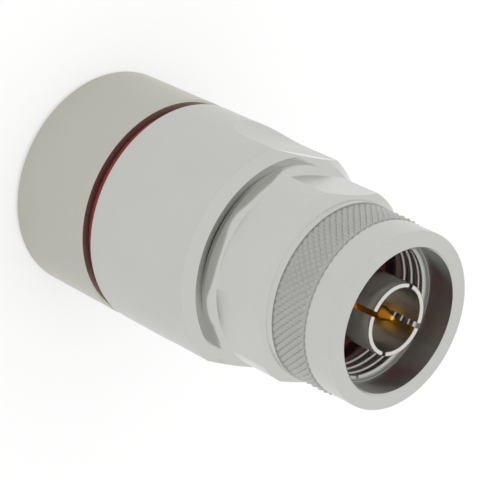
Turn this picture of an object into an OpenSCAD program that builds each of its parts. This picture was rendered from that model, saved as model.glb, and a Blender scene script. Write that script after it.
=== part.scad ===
// Coaxial cable plug of the N pattern for half-inch corrugated feeder cable.
// The axis is Z. The plug stands on the rear face of its clamping nut at Z = 0,
// and its mating end points up. The two wrench flats of the body face +X and -X.

/* [Overall] */
// Outer diameter of the body and of the clamping nut
body_d = 26.2; // [25.6:0.1:28]
// Length of the clamping nut behind the seal gap
clamp_nut_len = 12.1; // [11.6:0.1:16]
// Gap between clamping nut and body, filled by the seal ring
seal_gap = 1.5; // [1.2:0.1:1.8]
// Length of the body from the seal gap to its front rim
body_len = 16.65; // [15.8:0.05:19]
// Gap between the body's front rim and the coupling nut
shoulder_gap = 1.33; // [1.1:0.01:1.8]

/* [Body] */
// Width across the two wrench flats
flats_across = 24.1; // [22.6:0.1:25.4]
// Length of the wrench flats up to where they start to run out
flats_len = 5.9; // [3:0.1:9]
// Radius of the cutter that leaves the run-out
runout_r = 10; // [5:0.5:14]
// Height of the conical shoulder at the front of the body
shoulder_len = 1.12; // [0.6:0.02:2]
// Radial depth of that conical shoulder
shoulder_in = 1; // [0.5:0.05:1.6]
// Radius of the cove between the front rim and the neck
cove_r = 1.9; // [1.2:0.1:2.1]
// Diameter of the neck that the coupling nut turns on
neck_d = 18.6; // [18.4:0.1:19]

/* [Clamping nut and cable] */
// Bore for the cable jacket
jacket_bore_d = 16.4; // [14:0.1:16.8]
// Length of the rear lip that holds the jacket gasket in
rear_lip_len = 3; // [2:0.1:4]
// Length of the jacket gasket
gasket_len = 7.4; // [5:0.1:7.8]
// Thickness of the washer in front of the gasket
washer_t = 1.2; // [0.8:0.1:1.5]
// Outer diameter of the clamping thread
clamp_thread_d = 21.8; // [21.6:0.1:22.2]
// Length of the threaded spigot of the clamping nut
spigot_len = 8.4; // [7.8:0.1:9]
// Wall of that spigot
spigot_wall = 1.05; // [0.9:0.05:1.2]
// Diameter of the dielectric of the cable
dielectric_d = 12; // [11:0.1:12.4]
// Diameter of the inner conductor of the cable
conductor_d = 4.8; // [4:0.1:5]

/* [Clamping collet] */
// Number of fingers of the clamping collet
collet_fingers = 6; // [4:1:10]
// Width of the slots between the fingers
collet_slot = 0.9; // [0.5:0.1:1.4]
// Thickness of the collet's flange
flange_t = 1.8; // [1.2:0.1:2.2]
// Thickness of the thrust washer between spigot and flange
thrust_t = 0.6; // [0.4:0.1:0.8]

/* [Coupling nut] */
// Width across the hexagon
hex_across = 21; // [20.9:0.1:22]
// Diameter to which the corners of the hexagon are turned
hex_corner_d = 22.5; // [22:0.1:24]
// Length of the hexagon up to its front chamfer
hex_len = 6.32; // [6:0.02:9]
// Angle of the hexagon about the axis at rest
hex_turn = 36; // [0:1:60]
// Diameter of the smooth lip behind the knurl
lip_d = 20.3; // [19.9:0.1:21]
// Length of that lip
lip_len = 0.9; // [0.5:0.1:2]
// Diameter over the knurl
knurl_d = 20.2; // [20.1:0.1:21]
// Depth of the knurl
knurl_depth = 0.24; // [0.15:0.01:0.4]
// Length of the knurled band
knurl_len = 4.5; // [3:0.1:8]
// Knurl grooves of one hand around the nut
knurl_count = 72; // [48:2:90]
// Rows of knurl diamonds along the band
knurl_rows = 5; // [3:1:8]
// Width of the groove in front of the knurl
band_groove = 0.35; // [0.2:0.05:0.8]
// Diameter of the smooth front band
band_d = 19.7; // [19:0.1:20.4]
// Length of the smooth front band
band_len = 3.75; // [2.5:0.05:6]
// Diameter of the smooth mouth in front of the thread
mouth_d = 16; // [15.95:0.05:17]
// Depth of that mouth
mouth_len = 3.6; // [2.5:0.1:4.5]
// Major diameter of the coupling thread
coupling_thread_d = 15.88; // [15.8:0.01:15.9]
// Length of the coupling thread
coupling_thread_len = 4.7; // [4:0.1:5.2]

/* [Contacts] */
// Outer diameter of the slotted outer contact
contact_d = 8.1; // [8:0.05:8.4]
// Inner diameter of the outer contact
contact_bore_d = 7; // [6.8:0.05:7.1]
// Distance of the outer contact's lip behind the nut's front face
contact_back = 0.5; // [0.2:0.05:1]
// Number of slots in the outer contact
contact_slots = 4; // [4:1:8]
// Width of those slots
contact_slot = 0.6; // [0.3:0.05:0.9]
// Length of those slots
contact_slot_len = 8; // [6:0.1:9]
// Angle of the first slot about the axis
contact_turn = -6; // [-45:1:45]
// Diameter of the centre pin
pin_d = 1.6; // [1.5:0.02:1.7]
// Diameter of the line conductor behind the pin
line_d = 3.04; // [2.8:0.02:3.3]
// Distance of the pin's tip behind the nut's front face
pin_back = 1.05; // [0.5:0.05:2]
// Length of the thin pin in front of the line conductor
pin_len = 5; // [3.5:0.1:6]

/* [Hidden] */
$fn = 96;

// Clearances and small edges
turn_gap = 0.06;      // radial clearance of what turns or slides
seat_gap = 0.02;      // clearance of what is seated and stays put
face_gap = 0.02;      // axial clearance between stacked faces
loose_gap = 0.3;      // clearance of what passes without touching
edge = 0.25;          // small chamfer on turned edges
eps = 0.01;           // overlap of joined and cut shapes

// Stations along the axis, from the rear face to the mating face
z_seal = clamp_nut_len;
z_body = z_seal + seal_gap;
z_rim = z_body + body_len;
z_coupling = z_rim + shoulder_gap;
hex_chamfer = (hex_corner_d - lip_d) / 2;
z_hex_front = z_coupling + hex_len;
z_lip = z_hex_front + hex_chamfer;
z_knurl = z_lip + lip_len;
z_groove = z_knurl + knurl_len;
z_band = z_groove + band_groove;
z_front = z_band + band_len;

// Coupling nut, inside
z_thread_front = z_front - mouth_len;
z_thread_rear = z_thread_front - coupling_thread_len;
relief_depth = 0.2;
flange_relief_gap = 0.7;
neck_shelf = 1.86;
front_flange_d = neck_d - 2 * neck_shelf;
relief_d = max(coupling_thread_d + 2 * relief_depth, front_flange_d + 2 * flange_relief_gap);
nut_bore_d = neck_d + 2 * turn_gap;
neck_len = 5.95;
z_neck_end = z_rim + neck_len;
slip_t = 0.25;
z_nut_step = z_neck_end + slip_t + 2 * face_gap;
ring_t = 1;
ring_radial = 1.2;
ring_land = 1.2;
z_ring = z_neck_end - ring_land - ring_t;
ring_bite = 0.55;
ring_out_d = neck_d + 2 * ring_bite;
ring_in_d = ring_out_d - 2 * ring_radial;
ring_opening = 3;
ring_turn = 200;
ring_groove_gap = 0.2;

// Front end of the body
front_flange_len = 1.55;
z_gasket = z_neck_end + front_flange_len;
face_gasket_t = 1.2;
gasket_gap = 0.1;
face_gasket_d = front_flange_d - 2 * gasket_gap;

// Clamping side
rear_edge = 0.5;
gasket_grip = 0.2;
jacket_r = jacket_bore_d / 2;
washer_r = jacket_r + gasket_gap;
spigot_r = clamp_thread_d / 2;
pocket_r = spigot_r - spigot_wall;
z_spigot_end = z_seal + spigot_len;
z_gasket_front = rear_lip_len + gasket_len;
z_washer_front = z_gasket_front + washer_t;
z_flange = z_spigot_end + thrust_t + 2 * face_gap;
z_flange_front = z_flange + flange_t;
nose_len = 2.2;
nose_step = 0.6;
nose_slope = 0.8;
nose_gap = 0.4;
slot_root = 3;
corrugation_depth = 0.9;
z_collet_end = z_flange_front + nose_len;
collet_r = pocket_r - turn_gap;
flange_r = spigot_r - loose_gap;
nose_r = flange_r - nose_step;
grip_r = dielectric_d / 2 + corrugation_depth;
z_chamber_end = z_collet_end + nose_gap;
spring_r = 0.45;
spring_mid = nose_r - 0.1;
z_spring = z_flange_front + spring_r;
spring_opening = 1.2;

// Cone and line inside the body
cone_len = 3.2;
cone_wall = 2.6;
cone_land = 0.4;
cone_r = dielectric_d / 2 + cone_wall;
cone_nose = 1.7;
z_bead = z_chamber_end + cone_len;
bead_step = 0.4;
bead_r = dielectric_d / 2 + bead_step;
bead_len = 2.7;
z_wall = z_bead + bead_len;
front_pocket_len = 4.81;
z_front_pocket = z_gasket - front_pocket_len;
front_pocket_r = 6;
contact_flange_t = 1.5;
contact_flange_r = front_pocket_r - seat_gap;
contact_root_step = 0.25;
contact_root_d = contact_d + 2 * contact_root_step;
contact_ring_t = 1.1;
z_contact_flange = z_front_pocket + contact_flange_t;
z_retainer = z_contact_flange + contact_ring_t + 2 * face_gap;
z_contact_end = z_front - contact_back;
z_pin_end = z_front - pin_back;
z_pin_root = z_pin_end - pin_len;

// Inner conductor
socket_wall = 0.75;
socket_r = conductor_d / 2 + socket_wall;
socket_len = 8.5;
socket_floor = 1.5;
socket_slots = 4;
socket_slot = 0.6;
socket_slot_root = 2.5;
stud_r = 0.75;
stud_len = 2;
stud_gap = 0.2;
tip_r = 0.3;
tip_len = 1.5;
tip_cap = 0.2;
tip_ball_r = 0.33;
front_bead_len = 3;
z_front_bead = z_retainer;

// Small forms of the coupling nut
hex_rear_d = 20.6;
hex_bevel = (hex_corner_d - hex_rear_d) / 2;
knurl_root = 0.05;
knurl_wall = 0.5;
knurl_end = 0.12;
countersink = 0.6;
mouth_edge = 0.2;
front_round = 0.35;

satin = [0.74, 0.74, 0.71];
bright = [0.62, 0.62, 0.60];
brass = [0.80, 0.66, 0.36];
gold = [0.83, 0.62, 0.20];
ptfe = [0.94, 0.94, 0.92];
red_rubber = [0.42, 0.05, 0.04];

// A turned ring between two radii
module ring(z0, z1, r_in, r_out) {
    translate([0, 0, z0]) difference() {
        cylinder(h = z1 - z0, r = r_out);
        translate([0, 0, -eps]) cylinder(h = z1 - z0 + 2 * eps, r = r_in);
    }
}

// A cylinder between two stations
module bore(z0, z1, r) {
    translate([0, 0, z0]) cylinder(h = z1 - z0, r = r);
}

// A cone between two stations
module taper(z0, z1, r0, r1) {
    translate([0, 0, z0]) cylinder(h = z1 - z0, r1 = r0, r2 = r1);
}

// A round section swept round the axis
module seal_ring(z_mid, r_mid, r_section) {
    translate([0, 0, z_mid]) rotate_extrude() translate([r_mid, 0]) circle(r = r_section);
}

// Radial slots, cut from one side of the wall to beyond it
module slots(count, width, z0, z1, r_out, turn = 0) {
    for (i = [0 : count - 1]) rotate([0, 0, turn + i * 360 / count])
        translate([0, -width / 2, z0]) cube([r_out, width, z1 - z0]);
}

// Rear nut: a plain sleeve with a threaded spigot that screws into the body
module clamping_nut() {
    body_r = body_d / 2;
    color(satin) difference() {
        union() {
            taper(0, rear_edge, body_r - rear_edge, body_r);
            bore(rear_edge, z_seal - edge, body_r);
            taper(z_seal - edge, z_seal, body_r, body_r - edge);
            bore(z_seal - eps, z_spigot_end - 2 * edge, spigot_r);
            taper(z_spigot_end - 2 * edge, z_spigot_end, spigot_r, spigot_r - 2 * edge);
        }
        bore(-eps, rear_lip_len + eps, jacket_r);
        taper(-eps, rear_edge, jacket_r + rear_edge, jacket_r);
        bore(rear_lip_len, z_spigot_end + eps, pocket_r);
    }
}

// Silicone sleeve that seals on the cable jacket
module jacket_gasket() {
    color(red_rubber)
        ring(rear_lip_len + face_gap, z_gasket_front, jacket_r - gasket_grip, pocket_r - turn_gap);
}

// Washer that spreads the load on the gasket
module gasket_washer() {
    color(brass)
        ring(z_gasket_front + face_gap, z_washer_front, washer_r, pocket_r - turn_gap);
}

// Slotted collet whose fingers close on the corrugated outer conductor
module clamp_collet() {
    color(brass) difference() {
        union() {
            bore(z_washer_front + face_gap, z_flange + eps, collet_r);
            bore(z_flange, z_flange_front, flange_r);
            taper(z_flange_front - eps, z_collet_end, nose_r, nose_r - nose_slope);
        }
        bore(z_washer_front, z_flange, washer_r);
        taper(z_flange - eps, z_flange + flange_t / 2, washer_r, grip_r);
        bore(z_flange, z_collet_end + eps, grip_r);
        taper(z_collet_end - cone_nose, z_collet_end + eps, grip_r, grip_r + cone_nose);
        seal_ring(z_spring, spring_mid, spring_r + seat_gap);
        slots(collet_fingers, collet_slot, z_washer_front + slot_root, z_collet_end + eps, spigot_r);
    }
}

// Spring ring that holds the fingers together
module collet_spring() {
    color(bright) difference() {
        seal_ring(z_spring, spring_mid, spring_r);
        slots(1, spring_opening, z_spring - 2 * spring_r, z_spring + 2 * spring_r, spigot_r,
            90 / collet_fingers);
    }
}

// Washer between the turning spigot and the collet
module thrust_washer() {
    color(brass)
        ring(z_spigot_end + face_gap, z_spigot_end + face_gap + thrust_t, collet_r + turn_gap, flange_r);
}

// Red seal ring between the clamping nut and the body
module body_seal_ring() {
    section = seal_gap / 2 - face_gap;
    color(red_rubber)
        seal_ring(z_seal + seal_gap / 2, spigot_r + seat_gap + section, section);
}

// One flat with its curved run-out, on the +X side
module wrench_flat() {
    z_tangent = z_rim - flats_len;
    half = flats_across / 2;
    translate([half, -body_d, z_tangent]) cube([body_d, 2 * body_d, body_len]);
    translate([half + runout_r, 0, z_tangent]) rotate([90, 0, 0])
        cylinder(h = 2 * body_d, r = runout_r, center = true);
}

// Main body: rear barrel, wrench flats, shoulder, coved neck and front flange
module main_body() {
    body_r = body_d / 2;
    rim_r = body_r - shoulder_in;
    neck_r = neck_d / 2;
    thread_r = spigot_r + turn_gap;
    color(satin) difference() {
        union() {
            difference() {
                union() {
                    taper(z_body, z_body + edge, body_r - edge, body_r);
                    bore(z_body + edge, z_rim - shoulder_len, body_r);
                    taper(z_rim - shoulder_len, z_rim, body_r, rim_r);
                }
                wrench_flat();
                mirror([1, 0, 0]) wrench_flat();
            }
            difference() {
                bore(z_rim - eps, z_rim + cove_r, neck_r + cove_r);
                seal_ring(z_rim + cove_r, neck_r + cove_r, cove_r);
            }
            bore(z_rim, z_neck_end - edge, neck_r);
            taper(z_neck_end - edge, z_neck_end, neck_r, neck_r - edge);
            bore(z_neck_end - eps, z_gasket, front_flange_d / 2);
        }
        ring(z_ring - face_gap, z_ring + ring_t + face_gap, ring_in_d / 2 - seat_gap, body_r);
        taper(z_body - eps, z_body + edge, thread_r + edge, thread_r);
        bore(z_body - eps, z_flange_front + loose_gap, thread_r);
        bore(z_body, z_chamber_end, flange_r + loose_gap);
        bore(z_body, z_bead, cone_r + seat_gap);
        bore(z_body, z_wall, bead_r + seat_gap);
        bore(z_body, z_gasket, contact_bore_d / 2);
        bore(z_front_pocket, z_gasket + eps, front_pocket_r);
    }
}

// Ring with a cone that the end of the outer conductor is flared over
module flare_cone() {
    foot_r = cone_r - cone_land;
    color(brass) difference() {
        union() {
            bore(z_chamber_end, z_bead - face_gap, cone_r);
            taper(z_chamber_end - cone_nose, z_chamber_end + eps, foot_r - cone_nose, foot_r);
        }
        bore(z_chamber_end - cone_nose - eps, z_bead, dielectric_d / 2 + gasket_gap);
    }
}

// Bead that centres the cable socket
module rear_bead() {
    color(ptfe) ring(z_bead, z_wall - face_gap, line_d / 2 + seat_gap, bead_r);
}

// Slotted socket that grips the inner conductor of the cable
module cable_socket() {
    z_socket = z_bead - socket_len;
    color(gold) difference() {
        union() {
            bore(z_socket, z_bead - face_gap, socket_r);
            bore(z_bead - socket_r, z_wall, line_d / 2);
        }
        bore(z_socket - eps, z_bead - socket_floor, conductor_d / 2);
        taper(z_socket - eps, z_socket + rear_edge, conductor_d / 2 + rear_edge, conductor_d / 2);
        slots(socket_slots, socket_slot, z_socket - eps, z_bead - socket_slot_root, 2 * socket_r, 45);
        bore(z_wall - stud_len - stud_gap, z_wall + eps, stud_r + seat_gap);
    }
}

// Gold centre pin on its line conductor, screwed into the socket
module center_pin() {
    r = pin_d / 2;
    color(gold) union() {
        bore(z_wall - stud_len, z_wall + 2 * stud_r, stud_r);
        bore(z_wall + face_gap, z_pin_root - edge, line_d / 2);
        taper(z_pin_root - edge, z_pin_root, line_d / 2, line_d / 2 - edge);
        bore(z_pin_root - eps, z_pin_end - tip_len, r);
        taper(z_pin_end - tip_len, z_pin_end - tip_cap, r, tip_r);
        translate([0, 0, z_pin_end - tip_ball_r]) sphere(r = tip_ball_r);
    }
}

// Bead inside the outer contact
module front_bead() {
    color(ptfe)
        ring(z_front_bead, z_front_bead + front_bead_len, line_d / 2 + seat_gap,
            contact_bore_d / 2 - seat_gap);
}

// Springy outer contact: a flanged tube with slotted fingers and a rounded lip
module outer_contact() {
    r = contact_d / 2;
    wall = (contact_d - contact_bore_d) / 2;
    lip_r = wall / 2;
    z_slot = z_contact_end - contact_slot_len;
    color(bright) difference() {
        union() {
            bore(z_front_pocket + face_gap, z_contact_flange, contact_flange_r);
            bore(z_contact_flange - eps, z_slot - loose_gap, contact_root_d / 2);
            bore(z_slot - loose_gap - eps, z_contact_end - lip_r, r);
            seal_ring(z_contact_end - lip_r, r - lip_r, lip_r);
        }
        bore(z_front_pocket, z_contact_end - lip_r, contact_bore_d / 2);
        bore(z_contact_end - lip_r - eps, z_contact_end + eps, contact_bore_d / 2 - eps);
        slots(contact_slots, contact_slot, z_slot, z_front, contact_flange_r, contact_turn);
    }
}

// Small seal ring in front of the outer contact's flange
module contact_seal_ring() {
    section = contact_ring_t / 2;
    color(red_rubber)
        seal_ring(z_contact_flange + face_gap + section, contact_root_d / 2 + seat_gap + section, section);
}

// Pressed ring that holds the outer contact in the body
module contact_retainer() {
    color(brass) ring(z_retainer, z_gasket, contact_root_d / 2 + seat_gap, front_pocket_r - seat_gap);
}

// Red gasket that the mating socket presses on
module face_gasket() {
    color(red_rubber)
        ring(z_gasket + face_gap, z_gasket + face_gasket_t, contact_root_d / 2 + gasket_gap,
            face_gasket_d / 2);
}

// Open spring ring that keeps the coupling nut on the neck
module snap_ring() {
    color(bright) difference() {
        ring(z_ring, z_ring + ring_t, ring_in_d / 2, ring_out_d / 2);
        slots(1, ring_opening, z_ring - ring_t, z_ring + 2 * ring_t, ring_out_d, ring_turn);
    }
}

// Thin washer between the neck and the inner step of the coupling nut
module slip_washer() {
    color(ptfe)
        ring(z_neck_end + face_gap, z_neck_end + face_gap + slip_t, front_flange_d / 2 + gasket_gap,
            neck_d / 2 - edge);
}

// Diamond knurl: raised four-sided points between two crossing sets of grooves
module knurl_band(z0, len, r_peak, r_valley, r_core, count, rows) {
    steps = 2 * count;
    levels = 2 * rows;
    function peak(m) = m == 0 || m == levels ? r_peak - knurl_end : r_peak;
    function lattice(k, m) =
        let (r = (k + m) % 2 == 0 ? r_valley : peak(m), a = k * 360 / steps)
        [r * cos(a), r * sin(a), z0 + m * len / levels];
    function at(k, m) = m * steps + k % steps;
    function inner(k, top) = steps * (levels + 1) + (top ? steps : 0) + k % steps;
    outer = [for (m = [0 : levels]) for (k = [0 : steps - 1]) lattice(k, m)];
    core = [for (z = [z0, z0 + len]) for (k = [0 : steps - 1])
        [r_core * cos(k * 360 / steps), r_core * sin(k * 360 / steps), z]];
    rising = [for (m = [0 : levels - 1]) for (k = [0 : steps - 1]) if ((k + m) % 2 == 0)
        each [[at(k, m), at(k + 1, m + 1), at(k + 1, m)], [at(k, m), at(k, m + 1), at(k + 1, m + 1)]]];
    falling = [for (m = [0 : levels - 1]) for (k = [0 : steps - 1]) if ((k + m) % 2 == 1)
        each [[at(k, m), at(k, m + 1), at(k + 1, m)], [at(k + 1, m), at(k, m + 1), at(k + 1, m + 1)]]];
    ends = [for (k = [0 : steps - 1])
        each [[at(k, 0), at(k + 1, 0), inner(k + 1, false), inner(k, false)],
            [at(k, levels), inner(k, true), inner(k + 1, true), at(k + 1, levels)]]];
    back = [for (k = [0 : steps - 1])
        [inner(k, false), inner(k + 1, false), inner(k + 1, true), inner(k, true)]];
    polyhedron(points = concat(outer, core), faces = concat(rising, falling, ends, back));
}

// Hexagon with turned corners, a rear bevel and a front chamfer
module hex_section() {
    corner_r = hex_corner_d / 2;
    intersection() {
        union() {
            taper(z_coupling, z_coupling + hex_bevel, hex_rear_d / 2, corner_r);
            bore(z_coupling + hex_bevel, z_hex_front, corner_r);
            taper(z_hex_front, z_lip, corner_r, lip_d / 2);
        }
        translate([0, 0, z_coupling - eps]) rotate([0, 0, hex_turn])
            linear_extrude(z_lip - z_coupling + 2 * eps) circle(r = hex_across / sqrt(3), $fn = 6);
    }
}

// Coupling nut: hexagon, lip, diamond knurl, front band and threaded bore
module coupling_nut() {
    knurl_valley = knurl_d / 2 - knurl_depth;
    knurl_core = knurl_valley - knurl_root;
    bore_r = nut_bore_d / 2;
    band_r = band_d / 2;
    mouth_r = mouth_d / 2;
    color(satin) difference() {
        union() {
            hex_section();
            bore(z_lip - eps, z_knurl, lip_d / 2);
            bore(z_knurl - eps, z_band + eps, knurl_core);
            knurl_band(z_knurl, knurl_len, knurl_d / 2, knurl_valley, knurl_core - knurl_wall,
                knurl_count, knurl_rows);
            bore(z_band, z_front - front_round, band_r);
            bore(z_band, z_front, band_r - front_round);
            seal_ring(z_front - front_round, band_r - front_round, front_round);
        }
        bore(z_coupling - eps, z_nut_step, bore_r);
        taper(z_coupling - eps, z_coupling + countersink, bore_r + countersink, bore_r);
        bore(z_ring - ring_groove_gap, z_ring + ring_t + ring_groove_gap, ring_out_d / 2 + gasket_gap);
        bore(z_nut_step - eps, z_thread_rear, relief_d / 2);
        bore(z_thread_rear - eps, z_thread_front + eps, coupling_thread_d / 2);
        bore(z_thread_front, z_front + eps, mouth_r);
        taper(z_front - mouth_edge, z_front + eps, mouth_r, mouth_r + mouth_edge);
    }
}

clamping_nut();
jacket_gasket();
gasket_washer();
clamp_collet();
thrust_washer();
collet_spring();
body_seal_ring();
main_body();
flare_cone();
rear_bead();
cable_socket();
center_pin();
front_bead();
outer_contact();
contact_seal_ring();
contact_retainer();
face_gasket();
snap_ring();
slip_washer();
coupling_nut();
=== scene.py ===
"""Coaxial cable plug of the N pattern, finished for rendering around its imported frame.

Everything is in metres, in the frame of the plug: Z runs along its axis towards the mating
end, and the plug stands on the rear face of its clamping nut at Z = 0.
"""

import math

import bpy
from bpy.props import FloatProperty, FloatVectorProperty, IntProperty, PointerProperty
from mathutils import Matrix, Vector


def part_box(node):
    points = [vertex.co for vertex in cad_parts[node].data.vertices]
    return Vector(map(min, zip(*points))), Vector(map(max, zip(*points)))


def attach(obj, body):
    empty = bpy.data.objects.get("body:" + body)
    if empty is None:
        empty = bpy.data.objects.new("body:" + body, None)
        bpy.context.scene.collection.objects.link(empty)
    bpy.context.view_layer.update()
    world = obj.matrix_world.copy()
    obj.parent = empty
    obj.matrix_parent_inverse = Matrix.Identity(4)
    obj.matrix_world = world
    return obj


bl_info = {
    "name": "Coaxial cable plug",
    "version": (1, 0, 0),
    "blender": (4, 5, 0),
    "location": "3D View > Sidebar > Cable plug",
    "description": "Finishes, coupling thread and studio of a coaxial cable plug",
    "category": "Object",
}

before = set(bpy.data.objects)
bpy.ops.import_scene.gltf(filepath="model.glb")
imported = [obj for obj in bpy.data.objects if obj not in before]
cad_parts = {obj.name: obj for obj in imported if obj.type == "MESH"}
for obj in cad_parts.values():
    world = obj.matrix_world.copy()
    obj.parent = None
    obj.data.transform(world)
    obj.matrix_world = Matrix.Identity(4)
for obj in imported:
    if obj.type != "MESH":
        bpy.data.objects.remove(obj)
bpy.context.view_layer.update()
MM = 0.001

SHELL_LOW, SHELL_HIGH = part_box("main_body")
NUT_LOW, NUT_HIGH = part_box("coupling_nut")

# Places along the axis where the finish of the plate changes.
SHOULDER = SHELL_LOW.z + 15.53 * MM
KNURL_BACK = NUT_HIGH.z - 8.6 * MM
KNURL_FRONT = NUT_HIGH.z - 4.1 * MM
FINISH_EDGE = 0.02 * MM

# Advance of the tool in one turn of a finishing cut, which spaces the turning marks.
PLATED_FEED = 0.09 * MM
METAL_FEED = 0.08 * MM
PLASTIC_FEED = 0.15 * MM

# A surface whose normal lies closer to the axis than this is an end face.
END_FACE = 0.8

# Coupling thread: how far its root is sunk into the wall of the nut, and how much the
# corners of a ridge are rounded.
ROOT_SINK = 0.03 * MM
RIDGE_CORNER = 0.08 * MM

# Light of the surround on matt surfaces, and share of plain white in the floor as the eye
# and the metal see it. In both, 1 is white.
SURROUND_LEVEL = 0.72
FLOOR_WHITE = 0.55
PANEL_PLACE = (0.05, 0.05, 0.55)
PANEL_SIDE = 0.5
CAMERA_PLACE = Vector((39.49, 174.04, 183.64)) * MM
CAMERA_RIGHT = Vector((0.29448, -0.68180, 0.66965))
CAMERA_UP = Vector((0.94162, 0.08735, -0.32515))


def linear(hexadecimal):
    """Linear RGB of an sRGB colour written as six hexadecimal digits."""
    parts = [int(hexadecimal[i : i + 2], 16) / 255 for i in (1, 3, 5)]
    return [p / 12.92 if p <= 0.04045 else ((p + 0.055) / 1.055) ** 2.4 for p in parts]


# ---------------------------------------------------------------- sizes and colours


class ThreadSizes(bpy.types.PropertyGroup):
    """Sizes of the coupling thread inside the front nut."""

    pitch: FloatProperty(
        name="Pitch",
        description="Distance between two crests, 24 to the inch",
        default=1.058 * MM,
        min=0.5 * MM,
        max=2 * MM,
        subtype="DISTANCE",
        unit="LENGTH",
        precision=6,
    )
    major: FloatProperty(
        name="Root diameter",
        description="Diameter at the root of the inner thread",
        default=15.88 * MM,
        subtype="DISTANCE",
        unit="LENGTH",
        precision=6,
    )
    minor: FloatProperty(
        name="Crest diameter",
        description="Diameter over the crests of the inner thread",
        default=14.9 * MM,
        subtype="DISTANCE",
        unit="LENGTH",
        precision=6,
    )
    mouth_depth: FloatProperty(
        name="Mouth depth",
        description="Depth of the smooth mouth in front of the lead of the thread",
        default=3.65 * MM,
        subtype="DISTANCE",
        unit="LENGTH",
        precision=6,
    )
    length: FloatProperty(
        name="Length",
        description="Length of the thread along the axis",
        default=4.65 * MM,
        subtype="DISTANCE",
        unit="LENGTH",
        precision=6,
    )
    steps: IntProperty(
        name="Steps per turn",
        description="Mesh steps in one turn of the helix",
        default=96,
        min=24,
        max=240,
    )


def colour_property(label, text, hexadecimal):
    """A colour that the user can change, given as an sRGB hexadecimal value."""
    return FloatVectorProperty(
        name=label,
        description=text,
        default=linear(hexadecimal),
        size=3,
        min=0,
        max=1,
        subtype="COLOR",
    )


class FinishColours(bpy.types.PropertyGroup):
    """Colours of the plated, bare and moulded surfaces."""

    plate: colour_property("White bronze", "Plate on the body and front nut", "#C6C6C3")
    rear_plate: colour_property("Rear plate", "Plate on the rear nut", "#BEBDB4")
    bright: colour_property("Bright plate", "Plate on the outer contact", "#D8D5CE")
    gold: colour_property("Gold", "Plate on the centre line", "#E2B04A")
    brass: colour_property("Brass", "Bare turned brass", "#D9BE7C")
    spring: colour_property("Spring wire", "Steel of the open rings", "#B4B3B0")
    silicone: colour_property("Silicone", "Red seal ring and cable gasket", "#8C1509")
    # The same red silicone as the seal ring, made darker: the extra darkness is painted
    # shade of the recess inside the front nut.
    face_seal_painted_shade: colour_property(
        "Face gasket", "Red gasket and ring inside the front nut", "#6E130F"
    )
    fluoropolymer: colour_property("Fluoropolymer", "White insulators", "#F1F0EC")


class StageSettings(bpy.types.PropertyGroup):
    """Floor, lamp and camera."""

    floor_size: FloatProperty(
        name="Floor size",
        description="Side of the square floor",
        default=3.0,
        min=0.5,
        subtype="DISTANCE",
        unit="LENGTH",
    )
    lamp_power: FloatProperty(
        name="Lamp power",
        description="Power of the overhead panel",
        default=1.6,
        min=0,
        subtype="POWER",
        unit="POWER",
    )
    focal_length: FloatProperty(
        name="Focal length",
        description="Focal length on a 36 mm sensor",
        default=162.8,
        min=20,
        subtype="NONE",
    )


# ---------------------------------------------------------------- node and mesh helpers


def add(tree, kind, inputs=None, out=0, **settings):
    """Adds a node with its settings, values and links, and returns one of its outputs."""
    made = tree.nodes.new(kind)
    for name, value in settings.items():
        setattr(made, name, value)
    for key, value in (inputs or {}).items():
        if isinstance(value, bpy.types.NodeSocket):
            tree.links.new(value, made.inputs[key])
        else:
            made.inputs[key].default_value = value
    return made.outputs[out] if len(made.outputs) else made


def math_node(tree, operation, *values):
    """One math operation on sockets or numbers."""
    return add(tree, "ShaderNodeMath", dict(enumerate(values)), operation=operation)


def blank_material(name):
    """An empty material with its output node."""
    material = bpy.data.materials.new(name)
    material.use_nodes = True
    material.node_tree.nodes.clear()
    return material


def finish_material(material, inputs):
    """Closes a material with one principled shader."""
    tree = material.node_tree
    shader = add(tree, "ShaderNodeBsdfPrincipled", inputs, out="BSDF")
    add(tree, "ShaderNodeOutputMaterial", {"Surface": shader})
    return material


def rgba(colour):
    """A colour property as the four numbers that a socket takes."""
    return (*colour, 1.0)


def place(tree):
    """Object coordinates of a piece."""
    return add(tree, "ShaderNodeTexCoord", out="Object")


def height_and_radius(tree):
    """Height along the axis of the plug, and distance from the axis."""
    split = tree.nodes.new("ShaderNodeSeparateXYZ")
    tree.links.new(place(tree), split.inputs[0])
    flat = add(tree, "ShaderNodeCombineXYZ", {0: split.outputs[0], 1: split.outputs[1]})
    radius = add(
        tree, "ShaderNodeVectorMath", {0: flat}, out="Value", operation="LENGTH"
    )
    return split.outputs[2], radius


def band(tree, value, low, high, soft):
    """1 between two places along a coordinate, 0 outside, with soft ends."""
    rise = add(
        tree,
        "ShaderNodeMapRange",
        {"Value": value, "From Min": low - soft, "From Max": low + soft},
    )
    fall = add(
        tree,
        "ShaderNodeMapRange",
        {"Value": value, "From Min": high + soft, "From Max": high - soft},
    )
    return math_node(tree, "MULTIPLY", rise, fall)


def mix_value(tree, factor, first, second):
    """A number that goes from first to second with the factor."""
    return add(
        tree,
        "ShaderNodeMix",
        {"Factor": factor, "A": first, "B": second},
        data_type="FLOAT",
    )


def mix_colour(tree, factor, first, second, blend="MIX"):
    """A colour that goes from first to second with the factor."""
    made = tree.nodes.new("ShaderNodeMix")
    made.data_type = "RGBA"
    made.blend_type = blend
    for key, value in (("Factor_Float", factor), ("A_Color", first), ("B_Color", second)):
        socket = next(s for s in made.inputs if s.identifier == key)
        if isinstance(value, bpy.types.NodeSocket):
            tree.links.new(value, socket)
        else:
            socket.default_value = value
    return next(s for s in made.outputs if s.identifier == "Result_Color")


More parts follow.
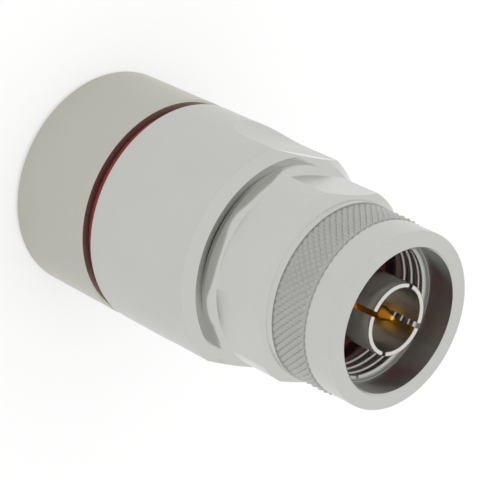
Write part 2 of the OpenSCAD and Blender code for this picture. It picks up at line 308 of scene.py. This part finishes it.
def lathe_lines(tree, spacing):
    """Height of fine turning marks: rings round a barrel and circles on an end face."""
    height, radius = height_and_radius(tree)
    normal = add(tree, "ShaderNodeNewGeometry", out="Normal")
    split = tree.nodes.new("ShaderNodeSeparateXYZ")
    tree.links.new(normal, split.inputs[0])
    across = math_node(tree, "ABSOLUTE", split.outputs[2])
    on_face = math_node(tree, "GREATER_THAN", across, END_FACE)
    along = mix_value(tree, on_face, height, radius)
    return add(
        tree,
        "ShaderNodeTexNoise",
        {"W": math_node(tree, "DIVIDE", along, spacing), "Detail": 3.0, "Roughness": 0.6},
        noise_dimensions="1D",
    )


def shine(tree, smooth, spread, size):
    """Roughness that wanders a little, as handling and plating leave it."""
    cloud = add(
        tree,
        "ShaderNodeTexNoise",
        {"Vector": place(tree), "Scale": 1 / size, "Detail": 3.0},
    )
    return math_node(tree, "MULTIPLY_ADD", cloud, spread, smooth - spread / 2)


def bump(tree, height, distance):
    """A surface normal from a height."""
    return add(tree, "ShaderNodeBump", {"Height": height, "Distance": distance})


def round_the_axis(tree):
    """Tangent that runs round the plug, along the turning marks."""
    return add(tree, "ShaderNodeTangent", direction_type="RADIAL", axis="Z")


# ---------------------------------------------------------------- materials


def plated_shell(name, plate, satin, zones):
    """White bronze plate on turned brass: a warm grey satin with fine rings round it.

    The whole piece has the satin roughness, except in the zones given as (low, high,
    roughness) along the axis. A shoulder is polished and mirrors the room. A knurl is
    pressed and stays matt.
    """
    material = blank_material(name)
    tree = material.node_tree
    lines = lathe_lines(tree, PLATED_FEED)
    height, _ = height_and_radius(tree)
    roughness = shine(tree, satin, 0.05, 3 * MM)
    for low, high, level in zones:
        zone = band(tree, height, low, high, FINISH_EDGE)
        roughness = mix_value(tree, zone, roughness, level)
    # The plate varies slightly in tone, in patches about 5 mm across.
    patches = add(
        tree,
        "ShaderNodeTexNoise",
        {"Vector": place(tree), "Scale": 1 / (5 * MM), "Detail": 2.0},
    )
    tone = mix_colour(
        tree,
        math_node(tree, "MULTIPLY", patches, 0.35),
        rgba(plate),
        rgba([c * k for c, k in zip(plate, (0.90, 0.89, 0.86))]),
    )
    fine = math_node(tree, "MULTIPLY_ADD", lines, 0.10, 0.95)
    return finish_material(
        material,
        {
            "Base Color": mix_colour(tree, 1.0, tone, fine, "MULTIPLY"),
            "Metallic": 1.0,
            "Roughness": roughness,
            "Anisotropic": 0.85,
            "Anisotropic Rotation": 0.25,
            "Tangent": round_the_axis(tree),
            "Normal": bump(tree, lines, 0.0012 * MM),
        },
    )


def turned_metal(name, colour, dull, smooth):
    """A plain turned metal with ring marks and a slightly uneven tone."""
    material = blank_material(name)
    tree = material.node_tree
    lines = lathe_lines(tree, METAL_FEED)
    cloud = add(
        tree,
        "ShaderNodeTexNoise",
        {"Vector": place(tree), "Scale": 1 / (1.5 * MM), "Detail": 3.0},
    )
    tone = mix_colour(tree, cloud, rgba(colour), rgba([c * dull for c in colour]))
    return finish_material(
        material,
        {
            "Base Color": tone,
            "Metallic": 1.0,
            "Roughness": shine(tree, smooth, 0.06, 1.0 * MM),
            "Normal": bump(tree, lines, 0.0008 * MM),
        },
    )


def cut_thread(name, colour):
    """White bronze on a cut thread: the plate of the nut, matt, with fine tool marks."""
    material = blank_material(name)
    tree = material.node_tree
    return finish_material(
        material,
        {
            "Base Color": rgba(colour),
            "Metallic": 1.0,
            "Roughness": shine(tree, 0.40, 0.06, 1.0 * MM),
            "Normal": bump(tree, lathe_lines(tree, METAL_FEED), 0.0008 * MM),
        },
    )


def silicone_rubber(name, colour):
    """Moulded silicone: an even deep red with a soft sheen and a faint mould texture."""
    material = blank_material(name)
    tree = material.node_tree
    cloud = add(
        tree,
        "ShaderNodeTexNoise",
        {"Vector": place(tree), "Scale": 1 / (0.8 * MM), "Detail": 4.0},
    )
    # The mould's own texture is about 0.03 mm, and is drawn coarser so that it shows.
    grain = add(
        tree,
        "ShaderNodeTexNoise",
        {"Vector": place(tree), "Scale": 1 / (0.12 * MM), "Detail": 2.0},
    )
    tone = mix_colour(tree, cloud, rgba(colour), rgba([c * 0.7 for c in colour]))
    return finish_material(
        material,
        {
            "Base Color": tone,
            "Roughness": shine(tree, 0.42, 0.10, 0.7 * MM),
            "Normal": bump(tree, grain, 0.004 * MM),
        },
    )


def white_fluoropolymer(name, colour):
    """Machined PTFE: a waxy white that lets a little light in."""
    material = blank_material(name)
    tree = material.node_tree
    lines = lathe_lines(tree, PLASTIC_FEED)
    cloud = add(
        tree,
        "ShaderNodeTexNoise",
        {"Vector": place(tree), "Scale": 1 / (1.2 * MM), "Detail": 2.0},
    )
    tone = mix_colour(tree, cloud, rgba(colour), rgba([c * 0.94 for c in colour]))
    return finish_material(
        material,
        {
            "Base Color": tone,
            "Roughness": shine(tree, 0.38, 0.08, 0.9 * MM),
            "Subsurface Weight": 0.15,
            "Subsurface Scale": 0.4 * MM,
            "Normal": bump(tree, lines, 0.002 * MM),
        },
    )


def wear(nodes, material):
    """Gives CAD nodes the material in place of their plain one."""
    for name in nodes:
        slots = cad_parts[name].material_slots
        for slot in slots:
            slot.material = material
        if not slots:
            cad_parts[name].data.materials.append(material)


# ---------------------------------------------------------------- operators


class PLUG_OT_shells(bpy.types.Operator):
    """Finish the body and both nuts in satin white bronze"""

    bl_idname = "plug.shells"
    bl_label = "Body and nuts"

    def execute(self, context):
        colours = context.scene.plug_colours
        body = plated_shell(
            "white bronze, turned body",
            colours.plate,
            0.30,
            [(SHOULDER, SHELL_HIGH.z, 0.07)],
        )
        rear = plated_shell(
            "white bronze, turned rear nut",
            colours.rear_plate,
            0.30,
            [],
        )
        front = plated_shell(
            "white bronze, knurled front nut",
            colours.plate,
            0.26,
            [(NUT_LOW.z, KNURL_BACK, 0.20), (KNURL_BACK, KNURL_FRONT, 0.56)],
        )
        wear(["main_body"], body)
        wear(["clamping_nut"], rear)
        wear(["coupling_nut"], front)
        return {"FINISHED"}


class PLUG_OT_contacts(bpy.types.Operator):
    """Finish the outer contact in bright plate and the centre line in gold"""

    bl_idname = "plug.contacts"
    bl_label = "Contacts"

    def execute(self, context):
        colours = context.scene.plug_colours
        wear(
            ["outer_contact"],
            turned_metal("bright plate on spring bronze", colours.bright, 0.9, 0.24),
        )
        wear(
            ["center_pin", "cable_socket"],
            turned_metal("gold plate on brass", colours.gold, 0.88, 0.14),
        )
        return {"FINISHED"}


class PLUG_OT_inner_pieces(bpy.types.Operator):
    """Finish the hidden brass, spring and insulating pieces"""

    bl_idname = "plug.inner_pieces"
    bl_label = "Inner pieces"

    def execute(self, context):
        colours = context.scene.plug_colours
        wear(
            [
                "gasket_washer",
                "clamp_collet",
                "thrust_washer",
                "flare_cone",
                "contact_retainer",
            ],
            turned_metal("bare turned brass", colours.brass, 0.82, 0.26),
        )
        wear(
            ["collet_spring", "snap_ring"],
            turned_metal("drawn spring wire", colours.spring, 0.85, 0.3),
        )
        wear(
            ["rear_bead", "front_bead", "slip_washer"],
            white_fluoropolymer("machined PTFE", colours.fluoropolymer),
        )
        return {"FINISHED"}


class PLUG_OT_seals(bpy.types.Operator):
    """Finish the red seals and gaskets"""

    bl_idname = "plug.seals"
    bl_label = "Seals"

    def execute(self, context):
        colours = context.scene.plug_colours
        wear(
            ["body_seal_ring", "jacket_gasket"],
            silicone_rubber("moulded silicone rubber", colours.silicone),
        )
        wear(
            # The ring and gasket inside the front nut take the darker red, which paints
            # the shade of that recess into their colour.
            ["contact_seal_ring", "face_gasket"],
            silicone_rubber("moulded silicone rubber, darkened as painted shade", colours.face_seal_painted_shade),
        )
        return {"FINISHED"}


class PLUG_OT_coupling_thread(bpy.types.Operator):
    """Cut the coupling thread inside the front nut"""

    bl_idname = "plug.coupling_thread"
    bl_label = "Coupling thread"

    def execute(self, context):
        sizes = context.scene.plug_thread
        start = NUT_HIGH.z - sizes.mouth_depth
        colours = context.scene.plug_colours
        cut = cut_thread("white bronze, cut thread", colours.plate)
        for piece in (helix(sizes, start), lead_ring(sizes, start)):
            piece.data.materials.append(cut)
            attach(piece, "front_nut")
        return {"FINISHED"}


def swept(name, section, turns, rise, steps):
    """Closed solid swept by a section of (radius, height) corners round the axis."""
    bpy.ops.object.select_all(action="DESELECT")
    bpy.ops.mesh.primitive_circle_add(
        vertices=len(section), fill_type="NOTHING", location=(0, 0, 0)
    )
    piece = bpy.context.active_object
    piece.name = name
    corners = sorted(piece.data.vertices, key=lambda v: math.atan2(v.co.y, v.co.x))
    for vertex, (radius, height) in zip(corners, section):
        vertex.co = (radius, 0, height)
    screw = piece.modifiers.new("turns", "SCREW")
    screw.axis = "Z"
    screw.angle = 2 * math.pi * turns
    screw.screw_offset = rise
    screw.steps = screw.render_steps = round(steps * turns)
    screw.use_normal_calculate = True
    bpy.ops.object.modifier_apply(modifier=screw.name)
    bpy.ops.object.mode_set(mode="EDIT")
    bpy.ops.mesh.select_all(action="SELECT")
    bpy.ops.mesh.remove_doubles(threshold=0.0005 * MM)
    if rise:
        bpy.ops.mesh.fill_holes(sides=0)
        bpy.ops.mesh.select_all(action="SELECT")
    bpy.ops.mesh.normals_make_consistent(inside=False)
    bpy.ops.object.mode_set(mode="OBJECT")
    return piece


def helix(sizes, start):
    """One closed ridge of the inner thread, its root sunk into the wall of the nut."""
    root = sizes.major / 2 + ROOT_SINK
    crest = sizes.minor / 2
    half = sizes.pitch / 2
    soft = RIDGE_CORNER
    low = start - sizes.length + 0.80 * half
    high = start - 0.5 * MM
    profile = [
        (root, 0.80),
        (crest + 2.2 * soft, 0.47),
        (crest + 0.5 * soft, 0.33),
        (crest, 0.15),
        (crest, -0.15),
        (crest + 0.5 * soft, -0.33),
        (crest + 2.2 * soft, -0.47),
        (root, -0.80),
    ]
    section = [(radius, low + share * half) for radius, share in profile]
    return swept(
        "coupling_thread_ridge",
        section,
        (high - low) / sizes.pitch,
        high - low,
        sizes.steps,
    )


def lead_ring(sizes, start):
    """Chamfered land that leads into the coupling thread."""
    root = sizes.major / 2 + ROOT_SINK
    crest = sizes.minor / 2
    section = [
        (root, start),
        (crest + 0.05 * MM, start - 0.42 * MM),
        (crest, start - 0.48 * MM),
        (crest, start - 0.74 * MM),
        (crest + 0.12 * MM, start - 0.86 * MM),
        (root, start - 1.05 * MM),
    ]
    return swept("coupling_thread_lead", section, 1, 0, sizes.steps)


def look_at(position, target):
    """Rotation that points a lamp's -Z from its position at a target."""
    return (Vector(target) - Vector(position)).to_track_quat("-Z", "Y").to_euler()


class PLUG_OT_stage(bpy.types.Operator):
    """Build the pale floor, the soft light and the camera"""

    bl_idname = "plug.stage"
    bl_label = "Stage"

    def execute(self, context):
        stage = context.scene.plug_stage
        self.floor(context, stage)
        self.world(context)
        self.lamp(context, stage)
        self.camera(context, stage)
        context.scene.view_settings.view_transform = "Standard"
        return {"FINISHED"}

    def floor(self, context, stage):
        """A pale matt floor that keeps the shadow of the plug."""
        bpy.ops.object.select_all(action="DESELECT")
        bpy.ops.mesh.primitive_plane_add(size=stage.floor_size, location=(0, 0, 0))
        floor = context.active_object
        floor.name = "floor"
        material = blank_material("pale matt floor")
        tree = material.node_tree
        path = tree.nodes.new("ShaderNodeLightPath")
        matt = add(
            tree,
            "ShaderNodeBsdfDiffuse",
            {"Color": rgba(linear("#F6F6F5"))},
        )
        white = add(tree, "ShaderNodeEmission", {"Color": (1, 1, 1, 1), "Strength": 1.0})
        pale = add(tree, "ShaderNodeMixShader", {0: FLOOR_WHITE, 1: matt, 2: white})
        # The eye, metal and glass all see the same paler floor, with its shadow.
        shown = matt
        for kind in ("Is Camera Ray", "Is Glossy Ray", "Is Transmission Ray"):
            shown = add(
                tree, "ShaderNodeMixShader", {0: path.outputs[kind], 1: shown, 2: pale}
            )
        add(tree, "ShaderNodeOutputMaterial", {"Surface": shown})
        floor.data.materials.append(material)

    def world(self, context):
        """A white surround, the same to the eye and to the metal."""
        world = bpy.data.worlds.new("pale studio")
        context.scene.world = world
        world.use_nodes = True
        tree = world.node_tree
        tree.nodes.clear()
        path = tree.nodes.new("ShaderNodeLightPath")
        seen = rgba([SURROUND_LEVEL] * 3)
        for kind in ("Is Camera Ray", "Is Glossy Ray", "Is Transmission Ray"):
            seen = mix_colour(tree, path.outputs[kind], seen, (1, 1, 1, 1))
        back = add(tree, "ShaderNodeBackground", {"Color": seen, "Strength": 1.0})
        add(tree, "ShaderNodeOutputWorld", {"Surface": back})

    def lamp(self, context, stage):
        """A soft square panel overhead."""
        lamp = bpy.data.lights.new("ceiling panel", "AREA")
        lamp.shape = "SQUARE"
        lamp.size = PANEL_SIDE
        lamp.energy = stage.lamp_power
        holder = bpy.data.objects.new("ceiling panel", lamp)
        holder.location = PANEL_PLACE
        holder.rotation_euler = look_at(PANEL_PLACE, (0, 0, 0))
        # The metal shows the white surround there and not the panel.
        holder.visible_glossy = False
        context.scene.collection.objects.link(holder)

    def camera(self, context, stage):
        """A long lens above the mating end, rolled so that the plug lies aslant."""
        camera = bpy.data.cameras.new("camera")
        camera.lens = stage.focal_length
        camera.sensor_width = 36
        camera.clip_start = 0.01
        holder = bpy.data.objects.new("camera", camera)
        context.scene.collection.objects.link(holder)
        back = CAMERA_RIGHT.cross(CAMERA_UP).normalized()
        turn = Matrix((CAMERA_RIGHT, CAMERA_UP, back)).transposed()
        holder.matrix_world = Matrix.Translation(CAMERA_PLACE) @ turn.to_4x4()
        context.scene.camera = holder


class PLUG_PT_panel(bpy.types.Panel):
    """Steps that finish the plug, in order"""

    bl_idname = "PLUG_PT_panel"
    bl_label = "Cable plug"
    bl_space_type = "VIEW_3D"
    bl_region_type = "UI"
    bl_category = "Cable plug"

    def draw(self, context):
        for operator in OPERATORS:
            self.layout.operator(operator.bl_idname)
        for group in (
            context.scene.plug_thread,
            context.scene.plug_colours,
            context.scene.plug_stage,
        ):
            box = self.layout.box()
            for name in group.__annotations__:
                box.prop(group, name)


OPERATORS = (
    PLUG_OT_shells,
    PLUG_OT_contacts,
    PLUG_OT_inner_pieces,
    PLUG_OT_seals,
    PLUG_OT_coupling_thread,
    PLUG_OT_stage,
)
CLASSES = (ThreadSizes, FinishColours, StageSettings, *OPERATORS, PLUG_PT_panel)


def register():
    for each in CLASSES:
        bpy.utils.register_class(each)
    bpy.types.Scene.plug_thread = PointerProperty(type=ThreadSizes)
    bpy.types.Scene.plug_colours = PointerProperty(type=FinishColours)
    bpy.types.Scene.plug_stage = PointerProperty(type=StageSettings)


def unregister():
    del bpy.types.Scene.plug_stage
    del bpy.types.Scene.plug_colours
    del bpy.types.Scene.plug_thread
    for each in reversed(CLASSES):
        bpy.utils.unregister_class(each)


def main():
    """Runs every step."""
    register()
    bpy.ops.plug.shells()
    bpy.ops.plug.contacts()
    bpy.ops.plug.inner_pieces()
    bpy.ops.plug.seals()
    bpy.ops.plug.coupling_thread()
    bpy.ops.plug.stage()


if __name__ == "__main__":
    main()
